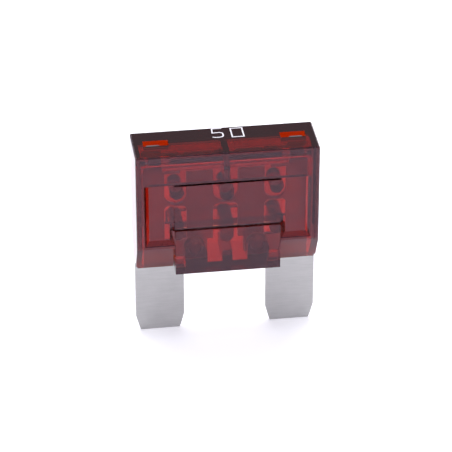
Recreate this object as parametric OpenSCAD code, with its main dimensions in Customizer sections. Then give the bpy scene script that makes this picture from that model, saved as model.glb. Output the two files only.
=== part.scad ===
// Large plug-in blade fuse: see-through moulded housing, snap-in bottom closure, stamped metal element.
// Upright, blades down. Origin: middle of the footprint, level with the blade tips. Millimetres.

/* [Overall] */
// Width over the housing, and over both blades
overall_width = 29.2; // [27.5:0.1:35]
// Blade tips to the top face
overall_height = 34.3; // [32:0.1:41]
// Housing depth, front face to back face
body_depth = 8.5; // [7.1:0.1:10.5]

/* [Blades] */
// How far the blades stand out below the housing
blade_length = 12.6; // [8:0.1:15]
// Width of one blade
blade_width = 7.9; // [6.6:0.1:8]
// Thickness of the stamped metal
metal_thickness = 0.8; // [0.6:0.05:1]
// Tip corner cut, across the blade
tip_cut_width = 0.75; // [0.3:0.05:1.6]
// Tip corner cut, along the blade
tip_cut_height = 2.8; // [1:0.1:4]
// Lead-in pressed into each face of the tip
tip_lead_depth = 0.22; // [0.1:0.01:0.26]
// Height of that lead-in
tip_lead_height = 0.8; // [0.3:0.05:1.5]

/* [Housing] */
// Moulded wall, front and back
wall = 1.4; // [1:0.05:1.6]
// End wall
end_wall = 1; // [0.9:0.05:1.3]
// Top wall
top_wall = 2.3; // [1.8:0.1:2.7]
// Rounding between the ceiling and the front and back walls
ceiling_round = 1.2; // [0.5:0.1:1.4]
// Height of the full-depth head above the recessed panel
head_height = 5.2; // [4:0.1:6.4]
// Depth of the panel recess
recess_depth = 0.75; // [0.4:0.05:0.9]
// Flush column left at each end of the recess
column_width = 1.3; // [0.8:0.05:1.6]
// Height of the drawn-in blade roots at both ends
root_height = 5; // [4:0.1:6]
// Depth of the housing at the very bottom of the roots
root_depth = 3; // [2.5:0.05:3.6]
// Flush strip between the root slope and the recess
root_strip = 0.4; // [0.2:0.05:0.6]
// Outer edge chamfer
edge_cut = 0.22; // [0.1:0.02:0.3]
// Corner cut at the foot of each end
foot_cut = 0.35; // [0.2:0.05:0.5]

/* [Top windows] */
// Window width, along the housing
window_width = 4; // [3.3:0.1:4.3]
// Window depth, from just before the metal to the back
window_depth = 1.7; // [1.2:0.1:2.2]
// Solid left between a window and the end of the housing
window_end = 1.7; // [1.4:0.1:2.2]

/* [Posts and ribs] */
// Outer posts and ribs, distance from the end of the housing
post_inset = 6.6; // [6.4:0.05:6.8]
// Post width
post_width = 2.3; // [1.6:0.1:2.6]
// Post height, round ends included
post_height = 2.4; // [2:0.1:2.8]
// How much further down the middle post reaches
middle_post_extra = 0.7; // [0.3:0.1:1]
// Post top below the top wall
post_gap = 3.95; // [3.6:0.05:4.5]
// Gap between a post and its notch in the metal
post_play = 0.6; // [0.3:0.05:0.7]
// Guide rib width, round ends
rib_width = 2.2; // [1.6:0.1:2.5]
// How far the ribs reach above the closure
rib_reach = 1.4; // [0.8:0.1:1.8]
// Gap between the middle rib and the stop of the closure
middle_rib_gap = 1.2; // [0.3:0.1:1.5]
// Gap between the outer ribs and the lugs of the closure
outer_rib_gap = 0.5; // [0.2:0.05:0.7]
// Web between the middle post and the top wall
web_width = 1; // [0.8:0.1:1.4]

/* [Closure] */
// Width of the closure plates
closure_width = 16.9; // [15.4:0.1:17.3]
// Height of the closure plates
closure_height = 8; // [7:0.1:9.6]
// Floor thickness
floor_thickness = 1.5; // [1.2:0.1:1.6]
// Middle stop rib, width
stop_width = 1.6; // [1.3:0.1:2.1]
// Middle stop rib, height above the floor
stop_height = 2; // [1.6:0.1:2.2]
// Locating pins from the middle
pin_offset = 5; // [4.8:0.05:5.1]
// Locating pin diameter
pin_diameter = 1.9; // [1.5:0.1:2.1]
// Pin centre above the floor
pin_rise = 1.75; // [1.5:0.05:1.9]
// Width of the arched lug behind each pin
lug_width = 3.5; // [2.8:0.1:3.7]

/* [Element] */
// Gap between the plate and the top wall
plate_gap = 2.35; // [2:0.05:2.8]
// How far each side finger reaches from its tab over the outer post
finger_reach = 3; // [2.4:0.1:3.4]
// Height of that finger
finger_height = 0.45; // [0.35:0.05:0.6]
// How far the finger stands above the plate
finger_rise = 0.3; // [0.1:0.05:0.4]
// Width of the strip that rises from each blade
riser_width = 3.4; // [2.9:0.05:3.8]
// Gap between that strip and the end wall
riser_gap = 0.4; // [0.2:0.05:0.45]
// Width of the test tab at its tip
tab_width = 2.1; // [1.6:0.1:2.3]
// How much wider the tab is below the top wall, on its inner side
tab_step = 0.15; // [0.1:0.05:0.3]
// Gap between the tab tip and the outer end of its window
tab_margin = 0.5; // [0.4:0.05:0.7]
// Tab tip below the top face
tab_drop = 0.3; // [0.1:0.05:0.5]
// Width of the middle slot, and of the notch above it
middle_slot = 4; // [3.4:0.1:4.4]
// Rounding of the slots' upper corners
slot_corner = 0.8; // [0.3:0.1:1.5]
// Bottom of the outer slots above the housing underside
slot_base = 4.4; // [4:0.1:5.2]
// Height of the fusing neck between notch and slot
neck_height = 0.3; // [0.25:0.05:0.8]
// How far the top notches reach below the posts
notch_drop = 1.9; // [1.6:0.1:2.2]
// Gap between the two feet that carry the pin holes
foot_spread = 5.9; // [5.4:0.1:6.6]

/* [Fits] */
// Play between the metal and the slot or ribs beside it
metal_play = 0.1; // [0.05:0.01:0.14]
// Play around the closure plates
closure_play = 0.08; // [0.05:0.01:0.12]
// Play around a locating pin
pin_play = 0.2; // [0.1:0.05:0.25]
// Overlap of the closure plates on the inner lip
lip_height = 0.5; // [0.3:0.05:0.7]

/* [Hidden] */
$fn = 48;
over = 0.5;
plastic = [0.62, 0.05, 0.06];
metal = [0.66, 0.66, 0.68];

half_width = overall_width / 2;
half_depth = body_depth / 2;
underside = blade_length;
recess_floor = half_depth - recess_depth;
cavity_half_depth = recess_floor - wall;
cavity_half_width = half_width - end_wall;
cavity_top = overall_height - top_wall;
ridge_level = overall_height - head_height;
slot_half = metal_thickness / 2 + metal_play;
root_half = root_depth / 2;
root_top = underside + root_height;
slope = (half_depth - root_half) / root_height;
// the wall of the sloping root, measured level
level_wall = wall * sqrt(1 + slope * slope);
cavity_bend = underside + (cavity_half_depth + level_wall - root_half) / slope;
slot_bend = underside + max(0.3, (slot_half + level_wall - root_half) / slope);
recess_base = root_top + root_strip;
recess_half = half_width - column_width;
closure_half = closure_width / 2;
cutout_half = closure_half + closure_play;
cutout_top = underside + closure_height + closure_play;
plate_inner = half_depth - wall;
floor_top = underside + floor_thickness;
post_offset = half_width - post_inset;
post_high = cavity_top - post_gap;
post_low = post_high - post_height;
rib_high = cutout_top + rib_reach;
blade_inner = half_width - blade_width;
riser_outer = cavity_half_width - riser_gap;
riser_inner = riser_outer - riser_width;
root_inner = blade_inner + metal_play;
tab_outer = half_width - window_end - tab_margin;
tab_inner = tab_outer - tab_width;
tab_foot = tab_inner - tab_step;
metal_high = cavity_top - plate_gap;
notch_width = post_width + 2 * post_play;
notch_low = post_low - notch_drop;
slot_high = notch_low - neck_height;
slot_low = underside + slot_base;
outer_slot = 2 * (riser_inner - post_offset);
pin_level = floor_top + pin_rise;
outer_rib_low = pin_level + lug_width / 2 + outer_rib_gap;
middle_rib_low = floor_top + stop_height + middle_rib_gap;

// a shape drawn in width and height, given depth and centred front to back
module slab(depth) {
    rotate([90, 0, 0]) translate([0, 0, -depth / 2]) linear_extrude(depth) children();
}

// a shape drawn in depth and height, run along the width
module run(length) {
    rotate([90, 0, 90]) translate([0, 0, -length / 2]) linear_extrude(length) children();
}

module both_sides() {
    children();
    mirror([1, 0, 0]) children();
}

module front_and_back() {
    children();
    mirror([0, 1, 0]) children();
}

// one end of an upright bar, from a level upwards, with corners as round as its size allows
module bar_end(x, level, height, width, corner) {
    radius = min(corner, width / 2, height / 2);
    translate([x - width / 2, level + radius]) square([width, height - radius]);
    if (2 * radius < width)
        translate([x - width / 2 + radius, level]) square([width - 2 * radius, height]);
    for (side = [-1, 1]) translate([x + side * (width / 2 - radius), level + radius]) circle(r = radius);
}

// an upright bar, round at its bottom only
module bar(x, low, high, width) {
    bar_end(x, low, high - low, width, width / 2);
}

// an upright slot with rounded corners at its top only
module slot(x, low, high, width, corner) {
    mirror([0, 1]) bar_end(x, -high, high - low, width, corner);
}

// an upright bar, round at both ends
module obround(x, low, high, width) {
    intersection() {
        bar(x, low, high, width);
        slot(x, low, high, width, width / 2);
    }
}

// an octagon of given half sizes, with 45 degree corners
module cut_plan(x, y, cut) {
    polygon([[x - cut, -y], [x, cut - y], [x, y - cut], [x - cut, y],
        [cut - x, y], [-x, y - cut], [-x, cut - y], [cut - x, -y]]);
}

module end_view() {
    polygon([[half_width - edge_cut, overall_height], [half_width, overall_height - edge_cut],
        [half_width, underside + 2 * foot_cut], [half_width - foot_cut, underside],
        [foot_cut - half_width, underside], [-half_width, underside + 2 * foot_cut],
        [-half_width, overall_height - edge_cut], [edge_cut - half_width, overall_height]]);
}

module side_view() {
    polygon([[half_depth - edge_cut, overall_height], [half_depth, overall_height - edge_cut],
        [half_depth, root_top], [root_half, underside], [-root_half, underside],
        [-half_depth, root_top], [-half_depth, overall_height - edge_cut],
        [edge_cut - half_depth, overall_height]]);
}

module cavity_view() {
    flat = cavity_half_depth - ceiling_round;
    bend = cavity_top - ceiling_round;
    polygon([[cavity_half_depth, bend], [cavity_half_depth, cavity_bend],
        [slot_half, slot_bend], [slot_half, underside - over], [-slot_half, underside - over],
        [-slot_half, slot_bend], [-cavity_half_depth, cavity_bend], [-cavity_half_depth, bend],
        [-flat, cavity_top], [flat, cavity_top]]);
    for (side = [-1, 1]) translate([side * flat, bend]) circle(r = ceiling_round);
}

// one field of the recess, bevelled at 45 degrees towards both ends
module bevelled_field(half, low, high, depth) {
    translate([0, 0, low]) linear_extrude(high - low)
        polygon([[half + over, -half_depth - over], [half - depth, -half_depth + depth],
            [depth - half, -half_depth + depth], [-half - over, -half_depth - over]]);
}

// front recess: square under the head, bevelled at the ends, at the foot and beside the closure
module recess() {
    difference() {
        intersection() {
            bevelled_field(recess_half, recess_base - over, ridge_level, recess_depth);
            run(overall_width) polygon([[-half_depth - over, recess_base - over],
                [-recess_floor, recess_base + recess_depth], [-recess_floor, ridge_level],
                [-half_depth - over, ridge_level]]);
        }
        // the frame beside the closure stays
        translate([0, 0, recess_base - over]) linear_extrude(cutout_top - recess_base + over)
            polygon([[cutout_half - over, -half_depth - over],
                [cutout_half + recess_depth + over, -recess_floor + over],
                [-cutout_half - recess_depth - over, -recess_floor + over],
                [over - cutout_half, -half_depth - over]]);
    }
}

// opening for one closure plate, with a thin lip left behind its top edge
module closure_opening() {
    height = cutout_top - underside + over;
    translate([-cutout_half, -half_depth - over, underside - over]) {
        cube([2 * cutout_half, half_depth + over + slot_half, height - lip_height]);
        cube([2 * cutout_half, wall + over, height]);
    }
}

module shell() {
    difference() {
        intersection() {
            slab(body_depth + 2 * over) end_view();
            run(overall_width + 2 * over) side_view();
            translate([0, 0, underside - over]) linear_extrude(overall_height)
                cut_plan(half_width, half_depth, edge_cut);
        }
        run(2 * cavity_half_width) cavity_view();
        front_and_back() recess();
        front_and_back() closure_opening();
        both_sides() translate([half_width - window_end - window_width, -slot_half, cavity_top - ceiling_round])
            cube([window_width, window_depth, top_wall + ceiling_round + over]);
    }
}

module housing() {
    color(plastic) {
        shell();
        // posts and ribs run from wall to wall, through notches and slots of the metal
        slab(2 * cavity_half_depth + wall) {
            obround(0, post_low - middle_post_extra, post_high, post_width);
            for (side = [-1, 1]) obround(side * post_offset, post_low, post_high, post_width);
        }
        slab(2 * cavity_half_depth + 0.2) {
            obround(0, middle_rib_low, rib_high, rib_width);
            for (side = [-1, 1]) obround(side * post_offset, outer_rib_low, rib_high, rib_width);
        }
        translate([-web_width / 2, -cavity_half_depth - wall / 2, post_high - post_width / 2])
            cube([web_width, 2 * cavity_half_depth + wall, cavity_top + 0.1 - post_high + post_width / 2]);
    }
}

module closure_half_shell() {
    translate([-closure_half, -half_depth, underside]) cube([closure_width, wall, closure_height]);
    for (side = [-1, 1]) {
        // arched lug, then its pin
        translate([0, -(plate_inner + slot_half) / 2, 0]) slab(plate_inner - slot_half + 0.1) {
            translate([side * pin_offset - lug_width / 2, floor_top - 0.1])
                square([lug_width, pin_rise + 0.1]);
            translate([side * pin_offset, pin_level]) circle(d = lug_width);
        }
        translate([side * pin_offset, -slot_half - 0.1, pin_level]) rotate([-90, 0, 0])
            cylinder(h = slot_half + 0.05, d = pin_diameter);
    }
}

module bottom_closure() {
    color(plastic) {
        front_and_back() closure_half_shell();
        difference() {
            translate([-closure_half, -plate_inner - 0.1, underside])
                cube([closure_width, 2 * plate_inner + 0.2, floor_thickness]);
            // open-ended slots that slide up over the blades
            both_sides() translate([blade_inner - metal_play, -slot_half, underside - over])
                cube([overall_width, 2 * slot_half, floor_thickness + 2 * over]);
        }
        translate([-stop_width / 2, -plate_inner - 0.1, floor_top - 0.1])
            cube([stop_width, 2 * plate_inner + 0.2, stop_height + 0.1]);
    }
}

module blade_view() {
    polygon([[half_width, underside], [half_width, tip_cut_height],
        [half_width - tip_cut_width, 0], [blade_inner + tip_cut_width, 0],
        [blade_inner, tip_cut_height], [blade_inner, underside]]);
}

// root, rising strip and test tab of one side
module riser_view() {
    polygon([[riser_outer, underside - over], [riser_outer, cavity_top - 0.6],
        [riser_outer - 0.5, cavity_top - 0.1], [tab_outer, cavity_top - 0.1],
        [tab_outer, overall_height - tab_drop], [tab_inner, overall_height - tab_drop],
        [tab_inner, cavity_top - 0.1], [tab_foot, cavity_top - 0.4],
        [tab_foot, metal_high - 0.1], [riser_inner, metal_high - 0.1],
        [riser_inner, slot_low], [root_inner, slot_low], [root_inner, underside - over]]);
}

// flat plate across the middle, slotted and notched around the posts and ribs
module plate_view() {
    difference() {
        translate([-riser_inner - 0.1, floor_top])
            square([2 * riser_inner + 0.2, metal_high - floor_top]);
        bar(0, notch_low, metal_high + notch_width, middle_slot);
        slot(0, floor_top - over, slot_high, middle_slot, slot_corner);
        for (side = [-1, 1]) {
            bar(side * post_offset, notch_low, metal_high + notch_width, notch_width);
            slot(side * post_offset, slot_low, slot_high, outer_slot, slot_corner);
        }
        translate([-foot_spread / 2, floor_top - over]) square([foot_spread, slot_low - floor_top + over]);
    }
}

module fuse_element() {
    color(metal) {
        intersection() {
            slab(metal_thickness) both_sides() blade_view();
            run(overall_width + 2 * over) polygon([
                [metal_thickness / 2, underside + over], [metal_thickness / 2, tip_lead_height],
                [metal_thickness / 2 - tip_lead_depth, 0], [tip_lead_depth - metal_thickness / 2, 0],
                [-metal_thickness / 2, tip_lead_height], [-metal_thickness / 2, underside + over]]);
        }
        slab(metal_thickness) difference() {
            union() {
                both_sides() riser_view();
                plate_view();
                for (side = [-1, 1])
                    translate([side * (tab_foot + 0.1 - finger_reach / 2) - finger_reach / 2,
                        metal_high + finger_rise - finger_height]) square([finger_reach, finger_height]);
            }
            for (side = [-1, 1]) translate([side * pin_offset, pin_level])
                circle(d = pin_diameter + 2 * pin_play);
        }
    }
}

housing();
bottom_closure();
fuse_element();
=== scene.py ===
import math

import bmesh
import bpy
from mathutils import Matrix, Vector


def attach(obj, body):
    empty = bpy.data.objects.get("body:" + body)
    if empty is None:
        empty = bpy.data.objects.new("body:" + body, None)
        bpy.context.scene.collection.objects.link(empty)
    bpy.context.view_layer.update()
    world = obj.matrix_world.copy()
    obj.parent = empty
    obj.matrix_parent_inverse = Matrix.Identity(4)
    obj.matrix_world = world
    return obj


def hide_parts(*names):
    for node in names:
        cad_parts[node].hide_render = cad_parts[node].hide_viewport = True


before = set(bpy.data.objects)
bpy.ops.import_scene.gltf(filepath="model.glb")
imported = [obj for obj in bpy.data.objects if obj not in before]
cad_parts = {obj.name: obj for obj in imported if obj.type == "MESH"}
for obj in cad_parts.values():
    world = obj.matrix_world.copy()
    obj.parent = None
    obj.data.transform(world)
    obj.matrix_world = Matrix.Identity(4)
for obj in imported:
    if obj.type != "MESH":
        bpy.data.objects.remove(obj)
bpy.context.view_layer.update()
scene = bpy.context.scene
mm = 0.001
print("frame loaded:", ", ".join(sorted(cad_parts)))


# lengths are millimetres in the frame of the part, turned into metres by mm, unless a note says metres

# camera, solved from the corners of the fuse in the photograph
cameraValues = {
    "place": (-48.16, -345.70, 227.54),
    "azimuth": -7.97,          # degrees, 0 looks along +Y
    "elevation": 30.92,        # degrees above the horizon
    "focalPixels": 2533.0,     # focal length in pixels of the square frame
    "framePixels": 452,
    "sensor": 36.0,
    "nearest": 0.01,           # metres
    "farthest": 20.0,          # metres
}


def makeCamera(values):
    data = bpy.data.cameras.new("photoCamera")
    data.sensor_width = values["sensor"]
    data.lens = values["focalPixels"] / values["framePixels"] * values["sensor"]
    data.clip_start = values["nearest"]
    data.clip_end = values["farthest"]
    camera = bpy.data.objects.new("photoCamera", data)
    scene.collection.objects.link(camera)
    camera.location = Vector(values["place"]) * mm
    turn, lift = math.radians(values["azimuth"]), math.radians(values["elevation"])
    back = Vector((math.sin(turn) * math.cos(lift), -math.cos(turn) * math.cos(lift), math.sin(lift)))
    camera.rotation_euler = (-back).to_track_quat("-Z", "Y").to_euler()
    scene.camera = camera


makeCamera(cameraValues)
print("camera set")


# node helpers, used by all materials; a span is a pair of a low and a high value
fullSpan = (0.0, 1.0)
noiseSpan = (0.3, 0.7)         # where most values of a noise lie


def newNode(tree, kind, **settings):
    node = tree.nodes.new(kind)
    for key, value in settings.items():
        setattr(node, key, value)
    return node


def feed(tree, source, target):
    tree.links.new(source, target)


def feedOrSet(tree, value, target):
    # a number is set on the socket, an output is linked to it
    if isinstance(value, (int, float)):
        target.default_value = value
    else:
        feed(tree, value, target)


def calculate(tree, operation, *values):
    node = newNode(tree, "ShaderNodeMath", operation=operation)
    for index, value in enumerate(values):
        feedOrSet(tree, value, node.inputs[index])
    return node.outputs[0]


def remap(tree, value, fromSpan, toSpan):
    node = newNode(tree, "ShaderNodeMapRange")
    node.inputs["From Min"].default_value, node.inputs["From Max"].default_value = fromSpan
    node.inputs["To Min"].default_value, node.inputs["To Max"].default_value = toSpan
    feed(tree, value, node.inputs["Value"])
    return node.outputs["Result"]


def blendColours(tree, mask, first, second):
    node = newNode(tree, "ShaderNodeMix", data_type="RGBA")
    feed(tree, mask, node.inputs["Factor"])
    for socket in node.inputs:
        if socket.type == "RGBA":
            socket.default_value = (*(first if socket.name == "A" else second), 1)
    return next(socket for socket in node.outputs if socket.type == "RGBA")


def startGroup(name, inputs, outputs):
    tree = bpy.data.node_groups.new(name, "ShaderNodeTree")
    for label, value in inputs.items():
        socket = tree.interface.new_socket(name=label, in_out="INPUT", socket_type="NodeSocketFloat")
        socket.default_value = value
    for label in outputs:
        tree.interface.new_socket(name=label, in_out="OUTPUT", socket_type="NodeSocketFloat")
    entry = newNode(tree, "NodeGroupInput")
    result = newNode(tree, "NodeGroupOutput")
    return tree, entry, result


def placeGroup(tree, group, **values):
    node = newNode(tree, "ShaderNodeGroup", node_tree=group)
    for label, value in values.items():
        node.inputs[label].default_value = value
    return node


def noiseAt(tree, scale, detail, roughness=0.5, stretch=(1, 1, 1)):
    # noise in object space, scale in waves per metre
    place = newNode(tree, "ShaderNodeTexCoord").outputs["Object"]
    mapping = newNode(tree, "ShaderNodeMapping")
    feed(tree, place, mapping.inputs["Vector"])
    mapping.inputs["Scale"].default_value = stretch
    noise = newNode(tree, "ShaderNodeTexNoise")
    feed(tree, mapping.outputs["Vector"], noise.inputs["Vector"])
    feedOrSet(tree, scale, noise.inputs["Scale"])
    noise.inputs["Detail"].default_value = detail
    noise.inputs["Roughness"].default_value = roughness
    return noise.outputs["Fac"]


# surface effects that the materials share
flowValues = {
    "waves": 250.0,
    "wavesDetail": 1.0,
    "dust": 9000.0,
    "dustDetail": 3.0,
    "dustRoughness": 0.7,
    "dustAmount": 0.3,
    "specks": (0.62, 0.72),        # dust shows only where its noise is high
}


def makeFlowGroup(values):
    # slow waves and fine dust of a polished moulded surface
    tree, entry, result = startGroup(
        "mouldedFlow",
        {"Waves": values["waves"], "Dust": values["dust"], "Dust Amount": values["dustAmount"]},
        ("Height", "Tone", "Dust"))
    waves = noiseAt(tree, entry.outputs["Waves"], values["wavesDetail"])
    dust = noiseAt(tree, entry.outputs["Dust"], values["dustDetail"], values["dustRoughness"])
    specks = remap(tree, dust, values["specks"], fullSpan)
    feed(tree, waves, result.inputs["Height"])
    feed(tree, remap(tree, waves, noiseSpan, fullSpan), result.inputs["Tone"])
    feed(tree, calculate(tree, "MULTIPLY", specks, entry.outputs["Dust Amount"]), result.inputs["Dust"])
    return tree


grainValues = {
    "grain": 6000.0,
    "grainDetail": 3.0,
    "grainRoughness": 0.65,
    "stretch": (0.05, 1, 1),       # drawn out along X
    "blotches": 500.0,
    "blotchDetail": 4.0,
    "blotchRoughness": 0.6,
}


def makeScratchGroup(values):
    # grain and fine scratches along one direction
    tree, entry, result = startGroup(
        "drawnGrain", {"Grain": values["grain"], "Blotches": values["blotches"]}, ("Grain", "Blotches"))
    grain = noiseAt(tree, entry.outputs["Grain"], values["grainDetail"], values["grainRoughness"],
                    values["stretch"])
    blotches = noiseAt(tree, entry.outputs["Blotches"], values["blotchDetail"], values["blotchRoughness"])
    feed(tree, grain, result.inputs["Grain"])
    feed(tree, blotches, result.inputs["Blotches"])
    return tree


flowGroup = makeFlowGroup(flowValues)
scratchGroup = makeScratchGroup(grainValues)


def startMaterial(name):
    material = bpy.data.materials.new(name)
    material.use_nodes = True
    tree = material.node_tree
    shader = tree.nodes["Principled BSDF"]
    return material, tree, shader


def addBump(tree, shader, height, strength, distance):
    bump = newNode(tree, "ShaderNodeBump")
    bump.inputs["Strength"].default_value = strength
    bump.inputs["Distance"].default_value = distance
    feed(tree, height, bump.inputs["Height"])
    feed(tree, bump.outputs["Normal"], shader.inputs["Normal"])


# clear red moulded plastic
plasticValues = {
    "ior": 1.58,
    "density": 2600.0,                 # absorption per metre
    "passes": (0.852, 0.62, 0.14),     # share of each colour that the density leaves
    "seeThrough": 0.978,               # the rest is a faint red haze
    "clear": (0.95, 0.32, 0.20),       # tints of one surface, between its waves
    "cloudy": (0.89, 0.27, 0.17),
    "gloss": (0.80, 0.64, 0.83),       # tint of what it mirrors
    "roughness": (0.02, 0.05),
    "dustyRoughness": 0.15,            # added where dust lies
    "waves": 260.0,
    "waveStrength": 0.15,
    "waveDepth": 0.00002,              # metres
}

# painted shade: the underside of the head gets a near-black, nearly opaque plastic that draws the dark line
# under its edge
paintedShadeValues = {
    **plasticValues,
    "seeThrough": 0.1,
    "clear": (0.045, 0.006, 0.012),
    "cloudy": (0.025, 0.004, 0.008),
    "roughness": (0.45, 0.6),
}


def makePlastic(name, values):
    material, tree, shader = startMaterial(name)
    flow = placeGroup(tree, flowGroup, Waves=values["waves"])
    tint = blendColours(tree, flow.outputs["Tone"], values["clear"], values["cloudy"])
    feed(tree, tint, shader.inputs["Base Color"])
    rough = remap(tree, flow.outputs["Tone"], fullSpan, values["roughness"])
    dusty = calculate(tree, "MULTIPLY", flow.outputs["Dust"], values["dustyRoughness"])
    feed(tree, calculate(tree, "ADD", rough, dusty), shader.inputs["Roughness"])
    shader.inputs["Transmission Weight"].default_value = values["seeThrough"]
    shader.inputs["Specular Tint"].default_value = (*values["gloss"], 1)
    shader.inputs["IOR"].default_value = values["ior"]
    addBump(tree, shader, flow.outputs["Height"], values["waveStrength"], values["waveDepth"])
    absorb = newNode(tree, "ShaderNodeVolumeAbsorption")
    absorb.inputs["Color"].default_value = (*values["passes"], 1)
    absorb.inputs["Density"].default_value = values["density"]
    feed(tree, absorb.outputs["Volume"], tree.nodes["Material Output"].inputs["Volume"])
    return material


# stamped zinc alloy with a thin tin finish
metalValues = {
    "bright": (0.445, 0.44, 0.44),
    "dull": (0.40, 0.395, 0.395),
    "lineShare": 0.6,                  # how much the dull places follow the drawn lines
    "blotchShare": 0.4,                # and how much the blotches
    "dulling": (0.35, 0.65),
    "roughness": (0.30, 0.42),
    "grainStrength": 0.15,
    "grainDepth": 0.00001,             # metres
}


def makeMetal(name, values):
    material, tree, shader = startMaterial(name)
    drawn = placeGroup(tree, scratchGroup)
    lines = calculate(tree, "MULTIPLY", drawn.outputs["Grain"], values["lineShare"])
    mixed = calculate(tree, "MULTIPLY_ADD", drawn.outputs["Blotches"], values["blotchShare"], lines)
    mask = remap(tree, mixed, values["dulling"], fullSpan)
    feed(tree, blendColours(tree, mask, values["bright"], values["dull"]), shader.inputs["Base Color"])
    feed(tree, remap(tree, drawn.outputs["Grain"], noiseSpan, values["roughness"]), shader.inputs["Roughness"])
    shader.inputs["Metallic"].default_value = 1.0
    addBump(tree, shader, drawn.outputs["Grain"], values["grainStrength"], values["grainDepth"])
    return material


redPlastic = makePlastic("redPlastic", plasticValues)
# near-black plastic that paints the line of shade under the head
paintedShadePlastic = makePlastic("paintedShadePlastic", paintedShadeValues)
coverPlastic = makePlastic("coverPlastic", plasticValues)
tinnedMetal = makeMetal("tinnedMetal", metalValues)
print("materials made")


# pieces that keep the form of a CAD solid and get their own edges and surface
acrossX, alongY, upZ = 0, 1, 2


def meshObject(name, built):
    mesh = bpy.data.meshes.new(name)
    built.to_mesh(mesh)
    built.free()
    made = bpy.data.objects.new(name, mesh)
    scene.collection.objects.link(made)
    return made


def makeBar(corners, axis, low, high):
    # a straight bar whose section is given by its corners, closed at both ends
    section = bmesh.new()
    ends = []
    for level in (low, high):
        ring = []
        for first, second in corners:
            spot = [first, second]
            spot.insert(axis, level)
            ring.append(section.verts.new([length * mm for length in spot]))
        ends.append(ring)
        section.faces.new(ring)
    for index in range(len(corners)):
        after = (index + 1) % len(corners)
        section.faces.new((ends[0][index], ends[0][after], ends[1][after], ends[1][index]))
    bmesh.ops.recalc_face_normals(section, faces=section.faces)
    return meshObject("bar", section)


def withBars(source, bars):
    # a copy of the solid's mesh with bars added or cut away
    worked = bpy.data.objects.new("worked", source.copy())
    scene.collection.objects.link(worked)
    spares = [worked]
    for operation, axis, low, high, corners in bars:
        bar = makeBar(corners, axis, low, high)
        spares.append(bar)
        step = worked.modifiers.new("bar", "BOOLEAN")
        step.operation = operation
        step.solver = "EXACT"
        step.object = bar
    result = bpy.data.meshes.new_from_object(worked.evaluated_get(bpy.context.evaluated_depsgraph_get()))
    for spare in spares:
        bpy.data.objects.remove(spare)
    return result


def mirrored(corners, first=1, second=1):
    return [(first * across, second * along) for across, along in corners]


# where the scene's own small forms meet the CAD solids; y is counted from the middle plane
places = {
    "outerFace": 4.25,
    "recessFloor": 3.5,        # face of the recessed panel
    "headEdge": 29.1,          # lower edge of the full-depth head
    "plateTop": 20.68,         # parting line of the closure
    "openingHalf": 8.53,       # half the width of the closure opening
}
formValues = {
    "fieldFace": 3.95,         # face of the raised field over each closure plate
    "fieldTop": 29.2,
    "fieldSunk": 0.1,          # how far the field reaches into the panel
    "grooveHalf": 12.4,        # half the length of the groove under the head
    "grooveFloor": 3.0,
    "grooveHeight": 0.5,
    "grooveRun": 0.5,          # how far its cut starts outside the panel
    "slopeOuter": 3.05,        # inner edge over each closure opening, sloped between these
    "slopeInner": 2.1,
    "slopeRun": 0.6,           # how far its cut starts below the parting line
}


def middleFields(values):
    # a slightly raised field over each closure plate, as wide as the plate
    half, root = places["openingHalf"], places["recessFloor"] - values["fieldSunk"]
    section = [(-half, root), (-half, values["fieldFace"]), (half, values["fieldFace"]), (half, root)]
    return [("UNION", upZ, places["plateTop"], values["fieldTop"], mirrored(section, 1, side))
            for side in (-1, 1)]


def headGroove(values):
    # fine groove under the lower edge of the head
    level, start, floor = places["headEdge"], places["recessFloor"] + values["grooveRun"], values["grooveFloor"]
    section = [(start, level - values["grooveHeight"]), (floor, level - values["grooveHeight"] / 2),
               (floor, level), (start, level)]
    return [("DIFFERENCE", acrossX, -values["grooveHalf"], values["grooveHalf"], mirrored(section, side))
            for side in (-1, 1)]


def openingSlopes(values):
    # the inner edge over each closure opening is sloped
    half, level = places["openingHalf"], places["plateTop"]
    outer, inner, low = values["slopeOuter"], values["slopeInner"], level - values["slopeRun"]
    section = [(outer, level), (inner, level + outer - inner), (inner, low), (outer, low)]
    return [("DIFFERENCE", acrossX, -half, half, mirrored(section, side)) for side in (-1, 1)]


mouldedValues = {
    "weld": 0.002,             # points closer than this are joined
    "flat": 0.4,               # degrees, flatter edges are dissolved
    "seams": (-5, 0, 5),       # cuts across X that keep flat faces small
    "seamReach": 0.0005,
    "sharpFrom": 24,           # degrees, edges that are rounded
    "edge": 0.08,              # their radius
    "steps": 3,
    "setBack": 0.008,          # faces lie this far inside the solid
    "softer": [],              # edges with a radius of their own: axis, distance, axis, distance, radius
    "softerReach": 0.03,
    "evenWeight": 90,          # how much large faces keep flat shading
    "bars": [],
}
housingValues = {
    **mouldedValues,
    "seams": (-10.9, -8, -5, 0, 5, 8, 10.9),
    "softer": [(upZ, places["headEdge"], alongY, places["outerFace"], 0.05)],
    "bars": middleFields(formValues) + headGroove(formValues) + openingSlopes(formValues),
    "shadeFacing": -0.9,        # faces that look down at the head's edge get the painted shade
    "shadeReach": 0.05,
}
stampingValues = {
    **mouldedValues,
    "seams": (-10.9, -8, -5, 0, 5, 8, 10.9),
    "sharpFrom": 20,
    "edge": 0.06,
    "steps": 2,
    "setBack": 0.004,
}


def cutSeams(solid, values):
    # a cut through every opening, so that no flat face keeps a hole in it
    for across in values["seams"]:
        cut = bmesh.ops.bisect_plane(solid, geom=solid.verts[:] + solid.edges[:] + solid.faces[:],
                                     dist=values["seamReach"] * mm,
                                     plane_co=(across * mm, 0, 0), plane_no=(1, 0, 0))
        for part in cut["geom_cut"]:
            if isinstance(part, bmesh.types.BMEdge):
                part.seam = True


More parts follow.
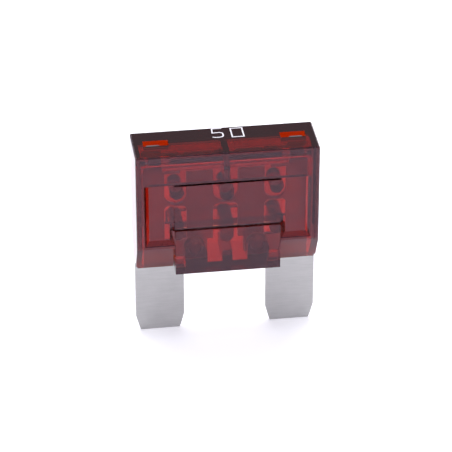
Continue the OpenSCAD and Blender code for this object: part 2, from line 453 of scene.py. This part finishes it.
def weighEdges(solid, values):
    # each sharp edge gets its share of the widest radius
    widest = max([values["edge"]] + [radius for *place, radius in values["softer"]])
    weights = solid.edges.layers.float.new("bevel_weight_edge")
    for edge in solid.edges:
        if math.degrees(edge.calc_face_angle(0)) < values["sharpFrom"]:
            continue
        radius = values["edge"]
        for firstAxis, firstLevel, secondAxis, secondLevel, wanted in values["softer"]:
            if all(abs(abs(vert.co[axis]) / mm - level) < values["softerReach"] for vert in edge.verts
                   for axis, level in ((firstAxis, firstLevel), (secondAxis, secondLevel))):
                radius = wanted
        edge[weights] = radius / widest
    return widest


def roundedCopy(node, name, values):
    solid = bmesh.new()
    solid.from_mesh(withBars(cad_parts[node].data, values["bars"]))
    bmesh.ops.remove_doubles(solid, verts=solid.verts, dist=values["weld"] * mm)
    cutSeams(solid, values)
    bmesh.ops.dissolve_limit(solid, angle_limit=math.radians(values["flat"]),
                             verts=solid.verts, edges=solid.edges, delimit={"SEAM"})
    solid.normal_update()
    widest = weighEdges(solid, values)
    moves = [vert.normal * values["setBack"] * mm for vert in solid.verts]
    for vert, move in zip(solid.verts, moves):
        vert.co -= move
    piece = meshObject(name, solid)
    piece.data.shade_smooth()
    rounding = piece.modifiers.new("edgeRounding", "BEVEL")
    rounding.width = widest * mm
    rounding.segments = values["steps"]
    rounding.limit_method = "WEIGHT"
    rounding.miter_outer = "MITER_ARC"
    even = piece.modifiers.new("evenFaces", "WEIGHTED_NORMAL")
    even.weight = values["evenWeight"]
    even.keep_sharp = False
    return piece


def dress(piece, node, material):
    piece.data.materials.clear()
    piece.data.materials.append(material)
    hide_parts(node)
    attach(piece, "root")


# painted shade: downward faces along the head's edge take the near-black plastic, a dark line that stands in
# for shade
def paintShadeUnderHead(piece, material, values):
    piece.data.materials.append(material)
    for face in piece.data.polygons:
        level = face.center.z / mm
        if face.normal.z < values["shadeFacing"] and abs(level - places["headEdge"]) < values["shadeReach"]:
            face.material_index = 1


housingPiece = roundedCopy("housing", "clearHousing", housingValues)
dress(housingPiece, "housing", redPlastic)
paintShadeUnderHead(housingPiece, paintedShadePlastic, housingValues)
coverPiece = roundedCopy("bottom_closure", "snapInCover", mouldedValues)
dress(coverPiece, "bottom_closure", coverPlastic)
stampingPiece = roundedCopy("fuse_element", "stampedElement", stampingValues)
dress(stampingPiece, "fuse_element", tinnedMetal)
print("pieces dressed")


# plain rating numbers printed on the top face, each drawn as one pen stroke
printValues = {
    "pen": 0.22,               # width of the stroke
    "level": 34.286,           # underside of the print, just inside the top face
    "height": 0.02,
    "mitre": 0.5,              # limit for the width at sharp turns
    "strokes": {
        "ratingFive": ([(0.02, 3.80), (-1.55, 3.80), (-1.63, 2.42), (-0.45, 2.50), (-0.05, 2.26), (0.02, 1.85),
                        (0.0, 1.42), (-0.15, 1.08), (-0.62, 0.93), (-1.22, 0.93), (-1.72, 1.12)], False),
        "ratingNought": ([(1.38, 3.57), (3.23, 3.57), (3.23, 0.76), (1.38, 0.76)], True),
    },
    "ink": (0.86, 0.85, 0.90),
    "wornInk": (0.66, 0.60, 0.66),
    "wear": (0.5, 0.75),
    "roughness": (0.45, 0.65),
    "grain": 14000.0,
    "blotches": 2500.0,
    "grainStrength": 0.3,
    "grainDepth": 0.00001,     # metres
}


def makeInk(values):
    material, tree, shader = startMaterial("ratingInk")
    drawn = placeGroup(tree, scratchGroup, Grain=values["grain"], Blotches=values["blotches"])
    worn = remap(tree, drawn.outputs["Blotches"], values["wear"], fullSpan)
    feed(tree, blendColours(tree, worn, values["ink"], values["wornInk"]), shader.inputs["Base Color"])
    feed(tree, remap(tree, drawn.outputs["Grain"], noiseSpan, values["roughness"]), shader.inputs["Roughness"])
    addBump(tree, shader, drawn.outputs["Grain"], values["grainStrength"], values["grainDepth"])
    return material


def printStroke(name, points, closed, values):
    # a flat ribbon along the points with mitred corners, closed on all sides
    count = len(points)
    path = [Vector(point) for point in points]
    rims = []
    for index, here in enumerate(path):
        before = path[index - 1] if index or closed else None
        after = path[(index + 1) % count] if index + 1 < count or closed else None
        ahead = (after - here).normalized() if after else (here - before).normalized()
        behind = (here - before).normalized() if before else ahead
        along = (ahead + behind).normalized()
        side = Vector((-along.y, along.x)) * values["pen"] / 2 / max(values["mitre"], along.dot(ahead))
        rims.append((here - side, here + side))
    low, high = values["level"], values["level"] + values["height"]
    ribbon = bmesh.new()
    corners = [[ribbon.verts.new((spot.x * mm, spot.y * mm, level * mm))
                for spot, level in ((left, low), (right, low), (right, high), (left, high))]
               for left, right in rims]
    for index in range(count if closed else count - 1):
        first, second = corners[index], corners[(index + 1) % count]
        for turn in range(4):
            ribbon.faces.new((first[turn], first[(turn + 1) % 4], second[(turn + 1) % 4], second[turn]))
    if not closed:
        ribbon.faces.new(corners[0])
        ribbon.faces.new(corners[-1])
    bmesh.ops.recalc_face_normals(ribbon, faces=ribbon.faces)
    return meshObject(name, ribbon)


ratingInk = makeInk(printValues)
for name, (points, closed) in printValues["strokes"].items():
    stroke = printStroke(name, points, closed, printValues)
    stroke.data.materials.append(ratingInk)
    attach(stroke, "root")
print("rating printed")


# pale floor, lengths in metres
floorValues = {
    "size": 4.0,
    "colour": (0.86, 0.86, 0.87),
    "darker": 0.985,           # share of the colour in its darker grain
    "grain": 40.0,
    "grainDetail": 3.0,
    "roughness": (0.75, 0.9),
    "specular": 0.1,
    "glow": 0.40,              # a light table, so that shadows stay faint
    "glowColour": (1.0, 0.99, 1.07),
}

# brightness of the room by the height of the direction that is looked in
skyValues = {
    "horizon": 0.85,           # pale room behind the table
    "middle": 0.27,            # dimmer where the top face mirrors it
    "top": 0.6,
    "colour": (1.0, 0.97, 1.12),
    "fading": (0.12, 0.32),    # from horizon to middle
    "rising": (0.5, 0.8),      # from middle to top
}

# soft lamps, lengths in metres and power in watts
lampValues = {
    "overheadSoftbox": {"place": (0.0, 0.1, 1.0), "target": (0, 0, 0), "size": (0.9, 0.9),
                        "power": 5.6, "reflected": True},
    "backSoftbox": {"place": (0.0, 0.4, 0.55), "target": (0, 0.4, 0), "size": (0.6, 0.5),
                    "power": 2.2, "reflected": False},
    "frontSoftbox": {"place": (-0.5, -1.0, 0.7), "target": (0, 0, 0.01), "size": (0.7, 0.5),
                     "power": 2.2, "reflected": True},
}

# clear plastic in many layers needs long light paths
bounceValues = {"max_bounces": 32, "transmission_bounces": 32, "glossy_bounces": 16}


def makeFloor(values):
    half = values["size"] / 2
    corners = [(-half, -half, 0), (half, -half, 0), (half, half, 0), (-half, half, 0)]
    mesh = bpy.data.meshes.new("paleFloor")
    mesh.from_pydata(corners, [], [(0, 1, 2, 3)])
    floor = bpy.data.objects.new("paleFloor", mesh)
    scene.collection.objects.link(floor)
    material, tree, shader = startMaterial("paleFloor")
    grain = noiseAt(tree, values["grain"], values["grainDetail"])
    darker = tuple(values["darker"] * channel for channel in values["colour"])
    feed(tree, blendColours(tree, grain, values["colour"], darker), shader.inputs["Base Color"])
    feed(tree, remap(tree, grain, noiseSpan, values["roughness"]), shader.inputs["Roughness"])
    shader.inputs["Specular IOR Level"].default_value = values["specular"]
    shader.inputs["Emission Color"].default_value = (*values["glowColour"], 1)
    shader.inputs["Emission Strength"].default_value = values["glow"]
    mesh.materials.append(material)


def makeSky(values):
    world = bpy.data.worlds.new("studioRoom")
    world.use_nodes = True
    scene.world = world
    tree = world.node_tree
    place = newNode(tree, "ShaderNodeTexCoord").outputs["Generated"]
    split = newNode(tree, "ShaderNodeSeparateXYZ")
    feed(tree, place, split.inputs["Vector"])
    lower = remap(tree, split.outputs["Z"], values["fading"], (values["horizon"], values["middle"]))
    upper = remap(tree, split.outputs["Z"], values["rising"], (0.0, values["top"] - values["middle"]))
    back = tree.nodes["Background"]
    back.inputs["Color"].default_value = (*values["colour"], 1)
    feed(tree, calculate(tree, "ADD", lower, upper), back.inputs["Strength"])


def makeSoftbox(name, values):
    data = bpy.data.lights.new(name, "AREA")
    data.shape = "RECTANGLE"
    data.size, data.size_y = values["size"]
    data.energy = values["power"]
    lamp = bpy.data.objects.new(name, data)
    scene.collection.objects.link(lamp)
    lamp.location = values["place"]
    lamp.visible_glossy = values["reflected"]
    aim = Vector(values["target"]) - Vector(values["place"])
    lamp.rotation_euler = aim.to_track_quat("-Z", "Y").to_euler()


makeFloor(floorValues)
makeSky(skyValues)
for name, values in lampValues.items():
    makeSoftbox(name, values)
for setting, count in bounceValues.items():
    setattr(scene.cycles, setting, count)
scene.view_settings.view_transform = "Standard"
print("studio set")
